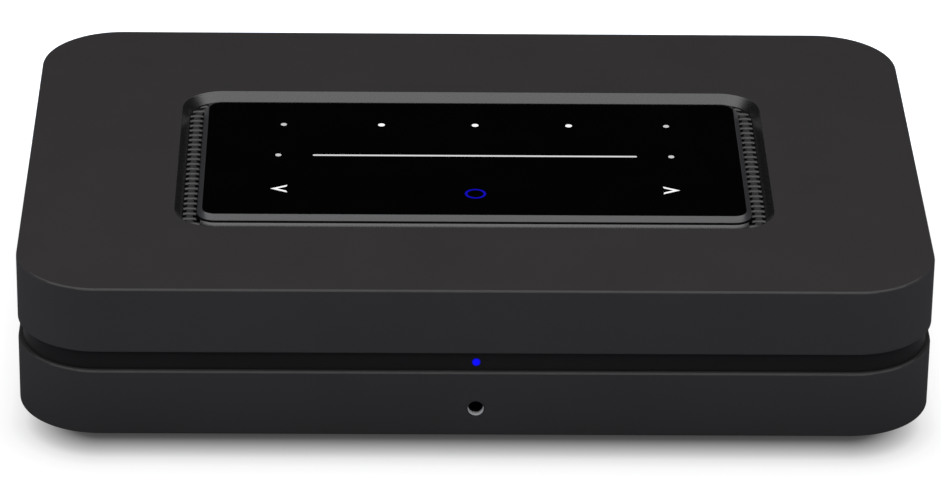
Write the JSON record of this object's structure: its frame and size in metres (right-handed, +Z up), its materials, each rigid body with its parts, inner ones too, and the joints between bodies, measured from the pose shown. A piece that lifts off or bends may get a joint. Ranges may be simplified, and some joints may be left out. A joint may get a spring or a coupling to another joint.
{
  "type": "network music streamer",
  "caption": "Low rounded-rectangle audio streamer of two stacked matte black blocks with a dark band between, a sunken glass touch panel on top and a recessed rear socket bay.",
  "frame": {"origin": "on the table under the middle of the body", "axes": "+X to the right seen from the front, +Y to the rear, +Z up"},
  "size_m": [0.22, 0.146, 0.046],
  "materials": {
    "shell_plastic": "fine matte moulded ABS",
    "band_plastic": "smooth dark polycarbonate",
    "base_plastic": "matte moulded ABS",
    "bezel_plastic": "satin moulded ABS",
    "vent_plastic": "satin moulded ABS",
    "panel_glass": "black back-printed polished glass",
    "foot_rubber": "matte",
    "rear_steel": "fine black powder coat",
    "screw_steel": "blackened zinc",
    "board_green": "solder resist",
    "board_tan": "paper laminate",
    "chip_epoxy": "moulded epoxy",
    "heatsink_alloy": "extruded",
    "tinned_steel": "tinned sheet",
    "gold_plate": "gold plated",
    "socket_black": "moulded nylon",
    "socket_white": "moulded nylon",
    "socket_red": "moulded nylon",
    "light_white": "translucent",
    "light_blue": "clear, lit blue",
    "receiver_dark": "dark infrared resin",
    "pillar_brass": "turned",
    "cable_sheath": "insulated cable",
    "power_wire": "insulated wire",
    "ribbon_film": "polyester film",
    "capacitor_sleeve": "shrink sleeve",
    "fuse_resin": "moulded",
    "ferrite": "sintered",
    "copper_tape": "taped winding"
  },
  "bodies": {
    "streamer": {"lower_shell": "shell_plastic", "upper_shell": "shell_plastic", "centre_band": "band_plastic", "base_plate": "base_plastic", "feet": "foot_rubber", "case_screws": "screw_steel", "rear_panel": "rear_steel", "rear_panel_screws": "screw_steel", "touch_bezel": "bezel_plastic", "touch_glass": "panel_glass", "light_guide": "light_white", "touch_board": "board_green", "touch_leds": "light_white", "touch_screws": "screw_steel", "ribbon_cables": "ribbon_film", "vent_grille_left": "vent_plastic", "vent_grille_right": "vent_plastic", "front_board": "board_green", "status_light_pipe": "light_blue", "status_led": "light_white", "infrared_receiver": "receiver_dark", "headphone_jack": "socket_black", "main_board": "board_green", "board_standoffs": "pillar_brass", "board_screws": "screw_steel", "processor": "chip_epoxy", "processor_heatsink": "heatsink_alloy", "board_chips": "chip_epoxy", "wireless_module": "tinned_steel", "antennas": "chip_epoxy", "antenna_leads": "cable_sheath", "audio_capacitors": "capacitor_sleeve", "board_connectors": "socket_white", "rca_housings": "socket_black", "rca_sleeves": "gold_plate", "rca_insulator_white": "socket_white", "rca_insulator_red": "socket_red", "rca_insulators_black": "socket_black", "rca_contacts": "gold_plate", "optical_housing": "socket_black", "shutter_pin": "tinned_steel", "shutter_spring": "tinned_steel", "rear_jacks": "socket_black", "hdmi_shell": "tinned_steel", "hdmi_tongue": "socket_black", "usb_shell": "tinned_steel", "usb_tongue": "socket_white", "ethernet_socket": "tinned_steel", "ethernet_contacts": "gold_plate", "mains_inlet": "socket_black", "mains_pins": "tinned_steel", "power_board": "board_tan", "mains_fuse": "fuse_resin", "power_capacitors": "capacitor_sleeve", "filter_choke": "copper_tape", "transformer_core": "ferrite", "transformer_winding": "copper_tape", "power_harness": "power_wire"},
    "shutter": {"optical_shutter": "socket_black"}
  },
  "joints": [
    {"name": "optical_shutter_hinge", "type": "hinge", "parent": "streamer", "child": "shutter", "pos_m": [0.0071, 0.0674, 0.02315], "axis": [-1, 0, 0], "range_deg": [0, 80], "stiffness_Nm_per_rad": 0.0004, "springref_deg": -14.32}
  ]
}
